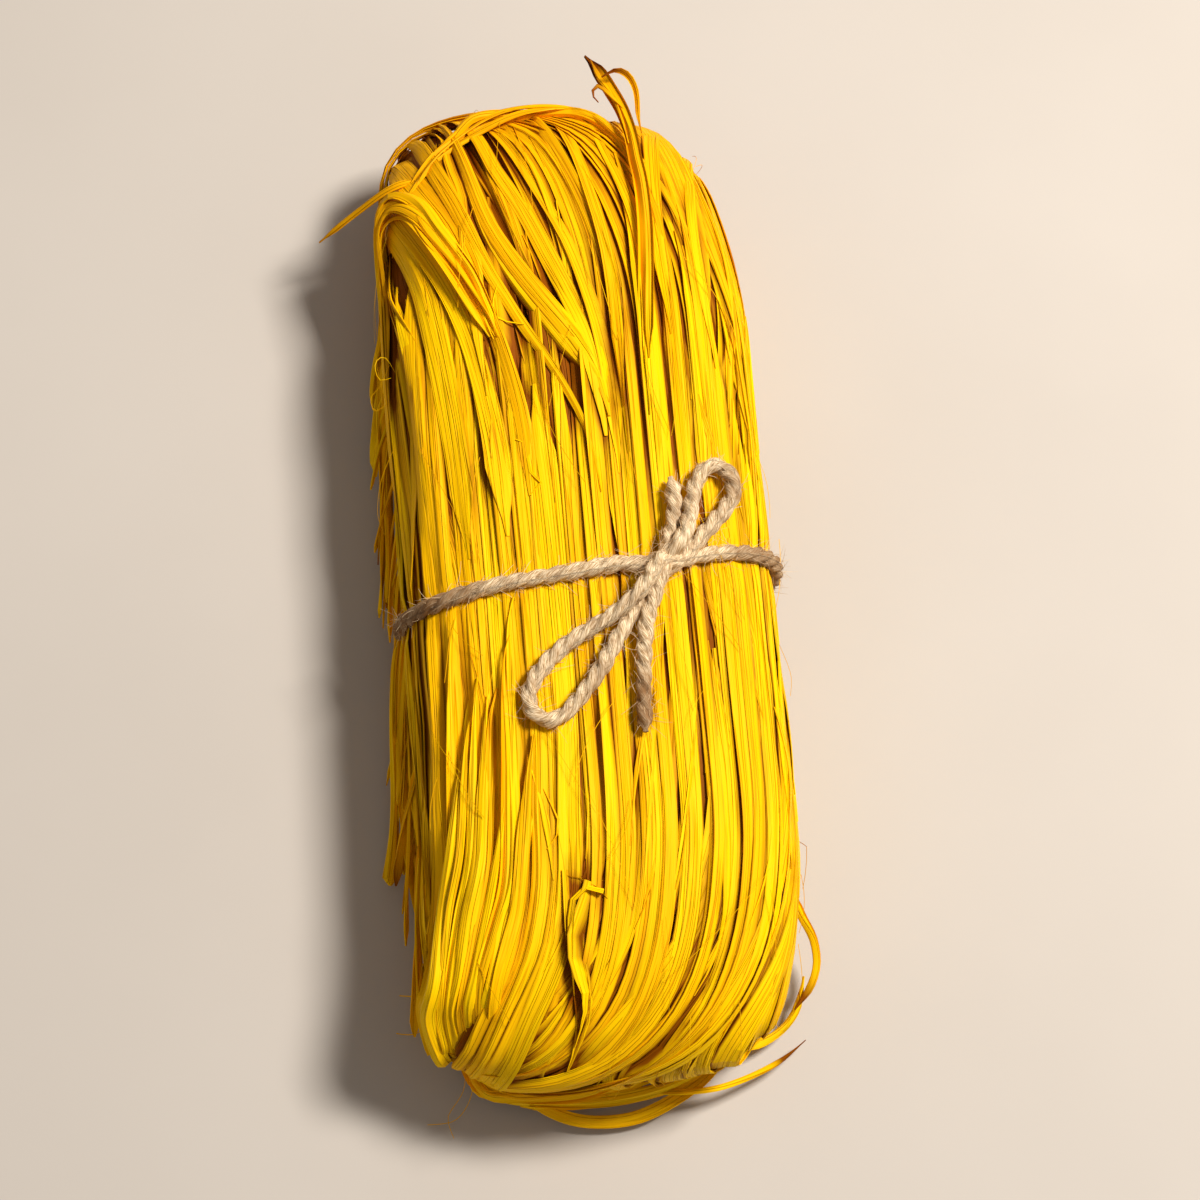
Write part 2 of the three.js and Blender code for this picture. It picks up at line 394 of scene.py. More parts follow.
# %% Jute
DARK_FIBRE, PALE_FIBRE = (0.42, 0.26, 0.12, 1), (1.0, 0.82, 0.56, 1)
STAIN, RUBBED = (0.30, 0.17, 0.08, 1), (0.24, 0.12, 0.045, 1)
jute = Finish("jute", Specular_IOR_Level=0.25)
strip_uv = jute.node("ShaderNodeUVMap", {"uv_map": "Strip"})
fibre_stretch = {0: strip_uv, 1: (1.0, 0.12, 1.0)}
fibre_place = jute.node("ShaderNodeVectorMath", {"operation": "MULTIPLY"}, fibre_stretch)
fibres = jute.noise(fibre_place, 5200.0, 3.0)
patches = jute.noise(jute.node("ShaderNodeTexCoord", output="Object"), 260.0, 3.0)
tone = jute.mix(ramp(fibres, 0.4, 0.62), DARK_FIBRE, PALE_FIBRE)
tone = jute.mix(ramp(patches, 0.5, 0.68) * 0.55, tone, STAIN)
weathered = jute.node("ShaderNodeAttribute", {"attribute_name": "shade_and_brown"}, output="Fac")
tone = jute.mix(weathered * (patches + 0.3), tone, RUBBED)
jute.finish(tone, fibres * 0.2 + 0.72, fibres + patches * 0.6, 0.25 * MM)

on_hank = twine_line - HANK
tail = np.clip((gone - gone[-1] + 16 * MM) / (8 * MM), 0, 1)
browned = np.maximum(np.clip((np.abs(on_hank[:, 0] - 2 * MM) - 22 * MM) / (8 * MM), 0, 1), tail)[:, None]
twine_tube = (twine_sections, twine_uv, 0.5, browned)
twine = joined_tubes("twine", [twine_tube], jute.material, "jute_twine", sharp=80)


# %% [markdown]
# Stray fibres stand off the cord everywhere, and most of them lie back along it. Hair curves would be
# quicker to grow, but the model is exported as meshes, so each fibre is a fine tube.

# %% Stray fibres
def hair(start, direction, length, radius, curl, steps=6):
    """A fine curved fibre."""
    t = np.linspace(0, 1, steps)[:, None]
    line = start + direction * length * t + curl * length * t**2
    sections = round_tube(line, radius * (1 - 0.6 * t), ring(3))
    sections[..., 2] = np.maximum(sections[..., 2], 0.05 * MM)
    return sections, np.zeros((steps, 3, 2)), rng.random(), 0


forward, side, up = directions(twine_line)
fuzz = []
for _ in range(2100):
    at = rng.integers(2, len(twine_line) - 2)
    angle = rng.random() * 2 * math.pi
    out = math.cos(angle) * side[at] + math.sin(angle) * up[at]
    along = forward[at] * rng.choice([-1, 1])
    direction = out * rng.uniform(0.15, 0.8) + along * rng.uniform(0.4, 1)
    start = twine_line[at] + out * TWINE * 0.42
    if start[2] < 3 * MM:
        continue
    length = rng.uniform(0.8, 4.2) * MM
    fuzz.append(hair(start, direction, length, rng.uniform(0.035, 0.07) * MM, rng.normal(0, 0.35, 3)))
twine_fuzz = joined_tubes("twine_fuzz", fuzz, jute.material, "jute_twine", sharp=80)
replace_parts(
    twine, "twine_band", "twine_knot", "twine_near_loop", "twine_far_loop", "twine_long_tail",
    "twine_short_tail",
)

# %% [markdown]
# The bundle is wound like a belt round two rollers, and every strip runs lengthwise over the top, round one
# end, back along the underside and round the other end. So a place on its skin has two measures: how far
# across it is from the middle of the top, and how far along the belt. The section across and the side view
# are both rounded boxes, and a quarter of each is measured once.

# %% Skin of the bundle
ROUND = 19.75 * MM  # half the thickness of the bundle, before its own weight presses it flat
ACROSS_POWER, SIDE_POWER, END_POWER = 2.95, 2.0, 7.0
LEAN_FAR, LEAN_NEAR, LEAN_FAR_LEFT, LEAN_STARTS = 0.33, 0.26, 0.10, 0.45


def quarter(half_wide, half_tall, power_wide, power_tall):
    """A quarter of a rounded box, from the middle of the top to the middle of the side."""
    share = 1 - (1 - np.linspace(0, 1, 800)) ** 3
    wide = half_wide * share
    tall = half_tall * (1 - share**power_wide) ** (1 / power_tall)
    step = np.hypot(np.diff(wide), np.diff(tall))
    slope_wide, slope_tall = np.gradient(wide), np.gradient(tall)
    size = np.hypot(slope_wide, slope_tall)
    return np.concatenate([[0], np.cumsum(step)]), wide, tall, -slope_tall / size, slope_wide / size


ACROSS = quarter(WIDTH / 2, ROUND, ACROSS_POWER, ACROSS_POWER)
ALONG = quarter(LENGTH / 2, ROUND, END_POWER, SIDE_POWER)
EDGE, QUARTER = ACROSS[0][-1] * 0.995, ALONG[0][-1]
LAP = 4 * QUARTER
print(f"{2 * EDGE / MM:.0f} mm across the skin, {LAP / MM:.0f} mm once round")


def look_up(table, distance, column):
    return np.interp(distance, table[0], table[column])


def skin(across, along, depth):
    """Places a depth below the skin of the bundle."""
    side = np.clip(np.abs(across), 0, EDGE)
    hand = np.sign(across)
    radius = look_up(ACROSS, side, 2)
    lap = np.mod(along, LAP)
    gone = QUARTER - np.abs(np.mod(lap, 2 * QUARTER) - QUARTER)
    far = np.where(lap < 2 * QUARTER, 1.0, -1.0)
    over = np.where((lap < QUARTER) | (lap > 3 * QUARTER), 1.0, -1.0)
    x = hand * look_up(ACROSS, side, 1)
    y = far * (LENGTH / 2 - ROUND + radius) * look_up(ALONG, gone, 1) / (LENGTH / 2)
    z = np.maximum(HEIGHT - ROUND + over * radius * look_up(ALONG, gone, 2) / ROUND, 0)
    out = look_up(ACROSS, side, 4)
    normal = np.stack([hand * look_up(ACROSS, side, 3), out * far * look_up(ALONG, gone, 3),
                       out * over * look_up(ALONG, gone, 4)], -1)
    bend = (np.clip(np.abs(y) / (LENGTH / 2) - LEAN_STARTS, 0, 1) / (1 - LEAN_STARTS)) ** 2
    share = x / (WIDTH / 2)
    right = (share + 1) / 2 * bend * np.where(y > 0, LEAN_FAR, LEAN_NEAR)
    left = (1 - share) / 2 * bend * np.where(y > 0, LEAN_FAR_LEFT, 0)
    place = np.stack([x + WIDTH / 2 * (left - right), y, z], -1) - normal * depth[..., None]
    gap = 0.15 * MM  # what would go lower is pressed flat this far above the floor
    low = np.minimum(place[..., 2] / gap - 2, 0)
    place[..., 2] = np.where(low < 0, gap * (1 + np.exp(low)), place[..., 2])
    return place + HANK


# %% [markdown]
# Along the middle the strips run straight. At both ends they are pulled to the left as they go over, mostly
# the ones that lie on the left half, so those crowd together at the left corners and the rest fan out.

# %% Pull of the ends
FAR_PULL, FAR_REACH = 28 * MM, 43 * MM
NEAR_PULL, NEAR_REACH = 21 * MM, 20 * MM
DRIFT, DRIFT_REACH = 6 * MM, 50 * MM
STRAIGHT_FROM, FAR_FADE = 22 * MM, 24 * MM  # strips to the right of this stay straight at the far end
NEAR_TURN, NEAR_FADE = 4 * MM, 8 * MM  # past the near end the pull is strongest, and it fades at the right
CROWD = 6 * MM  # the strips crowd together this near the left edge


def swell(away, reach):
    """1 at a place, and less and less beyond a reach from it."""
    return np.exp(-((away / reach) ** 2))


def pulled(rank, along):
    """Where across the skin a strip of a rank from -1 to 1 lies, at each distance along."""
    lap = np.mod(along, LAP)
    start = rank * EDGE
    far_pull = FAR_PULL * (1 - np.exp(-np.clip(STRAIGHT_FROM - start, 0, None) / FAR_FADE))
    near_fade = 1 - np.exp(-np.clip(EDGE - start, 0, None) / NEAR_FADE)
    near_pull = (NEAR_PULL - 0.12 * np.abs(start)) * near_fade
    across = start - far_pull * swell(lap - QUARTER, FAR_REACH)
    across = across - near_pull * swell(lap - 3 * QUARTER - NEAR_TURN, NEAR_REACH)
    across = across - DRIFT * swell(lap - 3 * QUARTER, DRIFT_REACH)
    crowded = np.minimum((across + EDGE) / CROWD - 1, 0)
    return np.where(crowded < 0, CROWD * np.exp(crowded) - EDGE, across)


print(f"the middle strip goes {-pulled(0, QUARTER) / MM:.0f} mm to the left at the far end")


# %% [markdown]
# The strips are laid one after another on a height map of the unrolled skin. What varies along a strip, such
# as its width or its bow, is random noise that is averaged over a stretch of the strip.

# %% Height map
ROWS = 120
STEP = LAP / ROWS
CELL = 0.5 * MM
SHRUNK = 3.55  # noise averaged over a reach is weaker by the root of this times the steps in the reach
heights = np.zeros((ROWS, round(2 * EDGE / CELL) + 1))
SPREAD = np.linspace(-0.5, 0.5, 17)
COLUMNS = {4: (0, 2, 14, 16), 5: (0, 2, 8, 14, 16), 7: (0, 1, 4, 8, 11, 15, 16)}  # places in SPREAD


def softened(values, reach):
    """Values along a strip, averaged over a reach to each side."""
    size = max(1, round(3 * reach / STEP))
    weights = np.exp(-0.5 * (np.arange(-size, size + 1) * STEP / reach) ** 2)
    weights /= weights.sum()
    table = values.reshape(len(values), -1)
    table = np.concatenate([np.repeat(table[:1], size, 0), table, np.repeat(table[-1:], size, 0)])
    return sum(weight * table[i : i + len(values)] for i, weight in enumerate(weights)).reshape(values.shape)


def wander(count, reach, size, columns=None):
    """A smooth random wander along a strip, or one for each of some columns."""
    shape = count if columns is None else (count, columns)
    strength = math.sqrt(SHRUNK * max(reach, STEP / 3) / STEP)
    return softened(rng.standard_normal(shape), reach) * size * strength


print(f"height map of {heights.shape[0]} x {heights.shape[1]} cells")

# %% [markdown]
# A strip finds what is already under it, rests on the high places because it is a little stiff, and raises
# the map where it lies. That gives real overlaps, and real gaps that show the darker strips below. A cloth
# simulation would press the strips together too, but not some hundreds of them in a few seconds.

# %% Laying a strip
def lay(across, along, width, arch, crumple, columns, thick=0.2 * MM, roll=0.0, moulded=0.5, lift=0.0):
    """Lay a strip on what is there, and give its columns' places across, along and up."""
    count = len(across)
    # Where the strip lies on the map, at seventeen places across it.
    slope_across, slope_along = np.gradient(across), np.gradient(along)
    run = np.hypot(slope_across, slope_along)
    flat = (width * np.cos(roll))[:, None] * SPREAD
    q = across[:, None] + flat * (slope_along / run)[:, None]
    s = along[:, None] - flat * (slope_across / run)[:, None]
    row = np.mod(np.round(s / STEP).astype(int), ROWS)
    cell = np.clip(np.round((q + EDGE) / CELL).astype(int), 0, heights.shape[1] - 1)
    # What it rests on: a tilted plane near the highest places under it.
    under = softened(heights[row, cell], 8 * MM)
    level = 0.6 * under.mean(1) + 0.4 * under.max(1)
    tilt = (under * SPREAD).sum(1) / (SPREAD**2).sum()
    plane = level[:, None] + tilt[:, None] * SPREAD
    # Its own shape: a bow across it, folds along it, and an edge that stands up where it rolls.
    picks = list(COLUMNS[columns])
    spots = SPREAD[picks]
    bow = (0.25 - spots**2) * 4
    rough = wander(count, 22 * MM, 0.5, columns) + wander(count, 7 * MM, 0.1, columns)
    rough = rough + rng.normal(0, 0.7, columns)
    fold = (arch[:, None] * bow + crumple * rough) * np.minimum(width, 4 * MM)[:, None]
    fold = np.array([np.interp(SPREAD, spots, one) for one in fold])
    stand = (width * np.sin(roll))[:, None] * SPREAD + (width * np.abs(np.sin(roll)) * 0.3)[:, None]
    # It follows what is under it only in part, and it raises the map.
    follow = (moulded * np.cos(roll))[:, None]
    height = plane + follow * (under - plane) + fold + stand + (lift + thick / 2)
    np.maximum.at(heights, (row, cell), height + thick / 2)
    u = width[:, None] * spots + rng.random()
    v = np.broadcast_to(along[:, None], u.shape) + rng.random()
    return q[:, picks], s[:, picks], height[:, picks], thick / 2, u, v, rng.random()


# %% [markdown]
# A wound strip looks for a low place among a few tries, so the pile stays even. On its way it strays a
# little, and its width, bow and roll change slowly.

# %% Winding a strip
def lowest(width, along, ranks, tries):
    """The path across the skin, of a few tries, that lies lowest in the pile."""
    best, best_level = None, math.inf
    for _ in range(tries):
        across = pulled(rng.uniform(*ranks), along)
        row = np.mod(np.round(along / STEP).astype(int), ROWS)
        spots = np.clip(across[:, None] + width * np.linspace(-0.5, 0.5, 5), -EDGE, EDGE)
        pile = heights[row[:, None], np.round((spots + EDGE) / CELL).astype(int)].mean()
        if pile < best_level:
            best, best_level = across, pile
    return best


def wound(width, columns, laps=1.02, start=None, roam=1.2 * MM, arch=(-0.02, 0.08), crumple=0.04, twist=0.2,
          slant=0.0, ranks=(-1, 1), tries=8, **ways):
    """A strip wound round the bundle, mostly once and from a place on the underside."""
    count = round(laps * ROWS)
    if start is None:
        start = 2 * QUARTER + rng.uniform(-0.75, 0.75) * QUARTER
    along = start + np.arange(count) * STEP
    across = lowest(width, along, ranks, tries) + wander(count, 45 * MM, roam)
    across = across + wander(count, 12 * MM, roam * 0.3)
    across = across + rng.normal(0, slant) * (along - along.mean()) + wander(count, 4 * MM, 0.13 * MM)
    across = np.clip(across, -EDGE, EDGE)
    ends = np.clip(np.minimum(np.arange(count), np.arange(count)[::-1]) / 6, 0.12, 1)
    widths = width * np.clip(1 + wander(count, 35 * MM, 0.25), 0.35, 1.6) * ends
    bows = arch[0] + (arch[1] - arch[0]) * rng.random() + wander(count, 25 * MM, 0.06)
    roll = np.clip(wander(count, 30 * MM, twist), -1.3, 1.3)
    return lay(across, along, widths, bows, crumple, columns, roll=roll, **ways)


# %% [markdown]
# When all strips are laid, the map is levelled, so that the bumps stay but the bundle keeps its size. For
# that it is averaged, and read between its cells.

# %% Levelling the map
def blurred(table, across, along):
    """The map averaged over a reach across and a reach along."""
    for axis, reach in ((1, across / CELL), (0, along / STEP)):
        size = math.ceil(2.5 * reach)
        weights = np.exp(-0.5 * (np.arange(-size, size + 1) / reach) ** 2)
        weights /= weights.sum()
        pads = [(0, 0), (0, 0)]
        pads[axis] = (size, size)
        padded = np.pad(table, pads, mode="wrap" if axis == 0 else "edge")
        count = table.shape[axis]
        table = sum(w * np.take(padded, range(i, i + count), axis) for i, w in enumerate(weights))
    return table


def read_map(table, across, along):
    """The map between its cells."""
    row = np.mod(along / STEP, ROWS)
    cell = np.clip((across + EDGE) / CELL, 0, table.shape[1] - 1.001)
    low_row, low_cell = row.astype(int) % ROWS, cell.astype(int)
    row_share, cell_share = row - np.floor(row), cell - low_cell
    high_row = (low_row + 1) % ROWS
    near = table[low_row, low_cell] * (1 - cell_share) + table[low_row, low_cell + 1] * cell_share
    later = table[high_row, low_cell] * (1 - cell_share) + table[high_row, low_cell + 1] * cell_share
    return near * (1 - row_share) + later * row_share


# %% [markdown]
# Near the twine everything is pressed down under it. How far a place lies below its surroundings is kept as
# well and painted as shade, darker and redder, because light that is caught between dyed strips comes back
# out much darker and redder. The edges of every strip get some painted shade too.

# %% From the map to the bundle
def press_map():
    """The least depth below the skin, from how near the twine is."""
    tree = kdtree.KDTree(len(twine_line))
    for number, place in enumerate(twine_line):
        tree.insert(place, number)
    tree.balance()
    all_along, all_across = np.arange(ROWS) * STEP, np.arange(heights.shape[1]) * CELL - EDGE
    rows, cells = np.meshgrid(all_along, all_across, indexing="ij")
    places = skin(cells, rows, np.zeros_like(rows))
    away = np.array([tree.find(place)[2] for place in places.reshape(-1, 3)]).reshape(rows.shape)
    under = places[..., 2] < 2 * MM
    deepest = np.where(under, 4.6, 1.75) * MM
    reach = np.where(under, 9.0, 3.2) * MM
    return -1.3 * MM + deepest * np.exp(-((np.maximum(away - 1.4 * MM, 0) / reach) ** 2))


RELIEF = 0.65  # the pile is pressed flatter than it was laid
THINNEST = 0.13 * MM
SHADED_FROM = 0.9 * MM  # a place this far below its surroundings gets hardly any light


def tubes_of(strips):
    """The tubes of laid strips."""
    tubes = []
    for q, s, height, half, u, v, tint in strips:
        depth = RELIEF * (read_map(level, q, s) - height)
        least = read_map(press, q, s)
        soft = 0.3 * MM
        pressed = least + 0.12 * np.minimum(depth - least, 0)
        low_side = pressed + soft * np.logaddexp(0, (depth + half - least) / soft)
        high_side = pressed + soft * np.logaddexp(0, (depth - half - least) / soft)
        thin = np.maximum(low_side, high_side + THINNEST)
        sections = np.concatenate([skin(q, s, high_side), skin(q, s, thin)[:, ::-1]], 1)
        uv = np.stack([np.concatenate([u, u[:, ::-1]], 1), np.concatenate([v, v], 1)], -1)
        # Painted shade: a place below its surroundings, and each strip's edges, get the dark red shade
        # colour.
        painted_shade = np.clip((read_map(local, q, s) - height) / SHADED_FROM - 0.25, 0, 1)
        rim_shade = 0.5 * np.clip(0.5 + wander(len(q), 14 * MM, 0.8, 2), 0, 1)
        painted_shade[:, [0, -1]] = np.clip(painted_shade[:, [0, -1]] + rim_shade, 0, 1)
        tubes.append((sections, uv, tint, np.concatenate([painted_shade, painted_shade[:, ::-1]], 1)))
    return tubes

# %% [markdown]
# Raffia is torn by hand, so its strips differ in width from a thread to the full leaflet. They are laid
# from the inside out: wide deep ones that fill the pile, a middle coat, then shorter and wider ones that
# show. Each could be a cloth strip of its own, but ribbons laid by arithmetic are much quicker to make.

# %% Wound strips
rng = np.random.default_rng(5)


def some_width(middle, spread, least=0.9, most=7.5):
    return float(np.clip(rng.lognormal(math.log(middle), spread), least, most)) * MM


deep = [wound(rng.uniform(3.5, 7) * MM, 4, twist=0.1) for _ in range(54)]
middle = [wound(some_width(2.2, 0.5), 4) for _ in range(105)]
upper = []
for number in range(205):
    width = rng.uniform(4, 7.5) * MM if number % 4 == 0 else some_width(2.0, 0.5)
    twist = 0.12 if number % 4 == 0 else 0.22
    upper.append(wound(width, 5, laps=rng.uniform(0.35, 0.7), start=rng.random() * LAP, slant=0.04,
                       roam=1.9 * MM, twist=twist, crumple=0.05))

# Wide flat strips lie uppermost on the top, between the narrow ones.
cover = []
for _ in range(64):
    cover.append(wound(some_width(5.0, 0.3), 7, laps=rng.uniform(0.12, 0.3),
                       start=rng.uniform(-0.9, 0.3) * QUARTER, slant=0.05, roam=1.4 * MM, twist=0.06,
                       crumple=0.03, moulded=0.75, tries=3))

# The left wall shows mostly narrow strips that stand on edge.
wall = []
for number in range(46):
    ranks = (-1, -0.62) if number % 2 else (-1, 1)
    wall.append(wound(some_width(1.5, 0.3), 4, laps=rng.uniform(0.35, 0.5),
                      start=rng.uniform(-0.3, 0.05) * LAP, ranks=ranks, twist=0.6 if number % 2 else 0.3,
                      slant=0.02))
print(f"{len(deep)} deep, {len(middle)} middle and {len(upper)} upper strips wound")
print(f"{len(cover)} wide ones on top and {len(wall)} at the left wall")


# %% [markdown]
# Some strips don't run straight, and they give this hank its look. At the far end they come up from the left
# and fan out to the right. Their routes are places on the skin, in millimetres across and along.

# %% Routes at the far end
FAR_ARCS = []
for number in range(14):
    reach = 1.9 * number + rng.normal(0, 0.5)
    FAR_ARCS.append((rng.uniform(1.4, 3.6), [
        (-46, 116), (-42, 110), (-31 + 0.3 * reach, 107), (-19 + 0.6 * reach, 103), (-9 + 0.9 * reach, 96),
        (-4 + reach, 86), (-1 + 1.05 * reach, 72), (1 + 1.05 * reach, 50),
        (1 + 1.05 * reach, rng.uniform(-10, 36)),
    ]))
FAR_FOLD = []
for number in range(6):
    shift = 2.2 * number
    FAR_FOLD.append((rng.uniform(2.2, 4.2), [
        (-20 - 0.4 * shift, 56 - shift), (-26 - 0.4 * shift, 70 - shift), (-34, 84 - shift),
        (-41, 94 - shift), (-46, 99 - shift), (-47.6, 98 - shift), (-47.2, 92 - shift), (-45.6, 78 - shift),
        (-44.6, 58 - 2 * shift), (-43.6, 36 - 2 * shift),
    ]))
FAR_FAN = [
    (4, [(-48, 118), (-47, 104), (-42, 90), (-36, 76), (-31, 62), (-28, 44), (-26, 22), (-25, 0)]),
    (4.5, [(-47, 120), (-44, 104), (-38, 88), (-31, 72), (-25, 58), (-21, 44), (-18, 24), (-17, 4)]),
    (3, [(-42, 118), (-38, 102), (-34, 87), (-28, 73), (-22, 64), (-17, 50), (-13, 30), (-12, 12)]),
    (5, [(-40, 116), (-36, 98), (-30, 84), (-25, 74), (-21, 62), (-18, 48)]),
    (2.4, [(-27, 104), (-24, 97), (-23, 88), (-21, 79), (-21, 66), (-20, 50), (-19, 34)]),
    (3, [(-34, 112), (-28, 92), (-22, 76), (-17, 62), (-11, 49), (-5, 38), (0, 26), (2, 12)]),
    (5, [(-30, 116), (-22, 99), (-19, 85), (-15, 69), (-8, 55), (0, 42), (5, 31)]),
    (3, [(-25, 108), (-20, 88), (-16, 72), (-9, 58), (-2, 47), (3, 38), (5, 28)]),
    (4, [(-26, 116), (-17, 98), (-13, 85), (-8, 74), (-4, 63), (0, 52), (3, 41), (4, 24)]),
    (3.4, [(-20, 114), (-10, 93), (-5, 80), (0, 67), (3, 55), (5, 44), (6, 32), (6, 16)]),
    (3, [(-8, 114), (-1, 98), (3, 84), (6, 70), (8, 56), (8, 40), (8, 20)]),
    (4.4, [(2, 116), (4, 102), (6, 90), (7, 78), (8, 64), (8, 48), (8, 30)]),
    (2.6, [(10, 116), (12, 100), (13, 88), (15, 74), (15, 60), (14, 46), (13, 28)]),
    (3, [(36, 116), (30, 104), (25, 92), (21, 78), (19, 64), (19, 46)]),
    (2.4, [(44, 112), (36, 98), (31, 84), (28, 72), (27, 58), (28, 40)]),
]
print(f"{len(FAR_ARCS) + len(FAR_FOLD) + len(FAR_FAN)} strips with a way of their own at the far end")

# %% [markdown]
# At the near end the strips sweep down to the left in two groups. A crumpled leaf and a few short bits lie
# on top, each with a place of its own.

# %% Routes at the near end
NEAR_SWEEP = []
for number in range(17):
    start = -8 + 2.6 * number + rng.normal(0, 0.8)
    turn = -rng.uniform(0, 5)
    NEAR_SWEEP.append((rng.uniform(1.6, 3.6), [
        (start, rng.uniform(20, 90)), (start, 0), (start, -50), (start - 0.5, -66), (start - 2, -80),
        (start - 6, -91 + turn / 3), (start - 14, -100 + turn / 2), (start - 26, -106 + turn),
        (start - 40 + turn, -112 + turn), (start - 48, -124 + turn),
    ]))
NEAR_LOCK = []
for number in range(13):
    start = -34 + 2.0 * number + rng.normal(0, 0.6)
    NEAR_LOCK.append((rng.uniform(2.0, 4.6), [
        (start, rng.uniform(20, 80)), (start + 1, 0), (start + 1, -34), (start, -52), (start - 0.5, -66),
        (start - 3, -80), (start - 8, -92), (start - 12, -102), (start - 15, -112), (start - 14, -124),
    ]))
LEAF = [
    (3.4, [(-9.4, -64), (-9.2, -73), (-8.4, -82), (-6.6, -92), (-9, -104)]),
    (4.4, [(-4.4, -67), (-6, -72), (-8, -77), (-7.8, -82), (-6, -89), (-8, -98)]),
    (1.6, [(-3.4, -68.6), (-6.6, -67.6), (-9.4, -70), (-10, -78), (-9, -88)]),
]
BITS = [
    (0.7, [(-11, -65), (-6, -66.6), (-2.6, -70)]),
    (0.7, [(-9.6, -63.6), (-7, -66), (-3.4, -66.4)]),
    (1.2, [(-14, -48), (-12.4, -52), (-11.4, -56), (-14, -60)]),
    (1.4, [(-16, -44), (-14, -54), (-13, -66)]),
    (1.6, [(-15, 58), (-16.6, 51), (-10.5, 48.4)]),
    (1.0, [(-14, 24), (-10.6, 22), (-12.6, 18), (-9.6, 15), (-12, 12)]),
    (1.3, [(-26, -20), (-24, -34), (-25.4, -42), (-28, -52)]),
    (1.5, [(10, -12), (8, -30), (4, -46), (2, -60)]),
    (1.3, [(30, 60), (33, 50), (33.6, 40), (32, 22)]),
    (1.4, [(37, -70), (36, -60), (38, -48), (35, -34)]),
]
print(f"{len(NEAR_SWEEP) + len(NEAR_LOCK)} near the left corner, {len(LEAF) + len(BITS)} small ones")

# %% [markdown]
# A strip on such a route is laid like the wound ones. It goes on the pile after them, so it shows.

# %% Strips with a way of their own
def led(points, width, columns=5, crumple=0.05, blunt=False, **ways):
    """A strip laid along a route on the skin, given in millimetres across and along."""
    route, _ = smooth_line(np.array(points) * MM, STEP)
    count = len(route)
    first = np.full(count, 9) if blunt else np.arange(count)
    ends = np.clip(np.minimum(first, np.arange(count)[::-1]) / 4, 0.12, 1)
    widths = width * MM * np.clip(1 + wander(count, 30 * MM, 0.15), 0.5, 1.4) * ends
    bows = rng.uniform(-0.02, 0.12) + wander(count, 25 * MM, 0.05)
    roll = np.clip(wander(count, 30 * MM, 0.2), -1, 1)
    return lay(route[:, 0], route[:, 1], widths, bows, crumple, columns, roll=roll, **ways)


led_strips = [led(route, width) for width, route in FAR_ARCS + FAR_FOLD + NEAR_SWEEP + NEAR_LOCK
              + FAR_FAN + BITS]
led_strips += [led(route, width, crumple=0.12, blunt=True) for width, route in LEAF]
print(f"{len(led_strips)} strips with a way of their own")

# %% [markdown]
# Dyed raffia is a warm yellow with fine darker streaks along each strip and a few orange stains. Thin brown
# lines along each strip are painted shade that stands for the shade in its creases, and painted shade also
# reddens and darkens the edges and the low places of the pile. The streaks are noise stretched along the
# strip's own UV map. A painted texture would also do, but noise stays sharp on every strip.

# %% Raffia
BRIGHT, WARM = (1.0, 0.63, 0.001, 1), (0.95, 0.465, 0.001, 1)
ORANGE, CREASE_SHADE, SHADE_AND_DRY_BROWN = (0.70, 0.26, 0.001, 1), (0.40, 0.10, 0.001, 1), (0.20, 0.035, 0.001, 1)


def raffia(name):
    """The finish of every strip: dyed yellow, made redder and darker by painted shade where it lies low or
    at its edges, and brown where a tip has dried.
    """
    paint = Finish(name, Specular_IOR_Level=0.04)
    place = paint.node("ShaderNodeUVMap", {"uv_map": "Strip"})
    tint = paint.node("ShaderNodeAttribute", {"attribute_name": "tint"}, output="Fac")
    shade_and_dry_brown = paint.node("ShaderNodeAttribute", {"attribute_name": "shade_and_brown"}, output="Fac")

    def streaks(across, along, scale, detail):
        stretch = {0: place, 1: (across, along, 1)}
        stretched = paint.node("ShaderNodeVectorMath", {"operation": "MULTIPLY"}, stretch)
        return paint.noise(stretched, scale, detail)

    fine = streaks(1, 0.02, 3500.0, 2.0)
    broad = streaks(1, 0.03, 900.0, 3.0)
    blots = streaks(1, 0.06, 420.0, 4.0)
    offset = streaks(1, 0.016, 850.0, 1.5) - 0.5
    crease_dent_and_shade = 1 - ramp(offset.math("ABSOLUTE", offset, 0), 0.0, 0.03)
    on_piece = paint.node("ShaderNodeTexCoord", output="Object")
    far_end = ramp(paint.node("ShaderNodeSeparateXYZ", {}, {0: on_piece}, output=1), 0.05, 0.11)
    colour = paint.mix(ramp(broad * 0.6 + tint * 0.5 + far_end * 0.8, 0.35, 0.9), BRIGHT, WARM)
    colour = paint.mix(ramp(fine + far_end * 0.07, 0.56, 0.68) * 0.36, colour, ORANGE)
    colour = paint.mix(ramp(blots, 0.66, 0.8) * 0.3, colour, ORANGE)
    # Painted shade: thin brown lines along the strips stand for the shade in their creases. The same lines
    # also dent the bump.
    colour = paint.mix(crease_dent_and_shade * ramp(broad, 0.42, 0.62) * 0.6, colour, CREASE_SHADE)
    # Painted shade: darker and redder where a strip lies low in the pile and at its edges. The same colour
    # gives the dried brown of some tips.
    colour = paint.mix(ramp(shade_and_dry_brown, 0.05, 0.8) * 0.94, colour, SHADE_AND_DRY_BROWN)
    return paint.finish(colour, broad * 0.3 + 0.35, fine * 0.5 + broad - crease_dent_and_shade * 0.5, 0.3 * MM)


yellow = raffia("yellow raffia")


def raffia_piece(name, tubes, slot="raffia_yellow", **ways):
    """One piece of strips."""
    return joined_tubes(name, tubes, yellow, slot, **ways)


# %% [markdown]
# Every coat of strips is a piece, and the larger ones are split in two, because a mesh with too many faces
# is slow to handle.

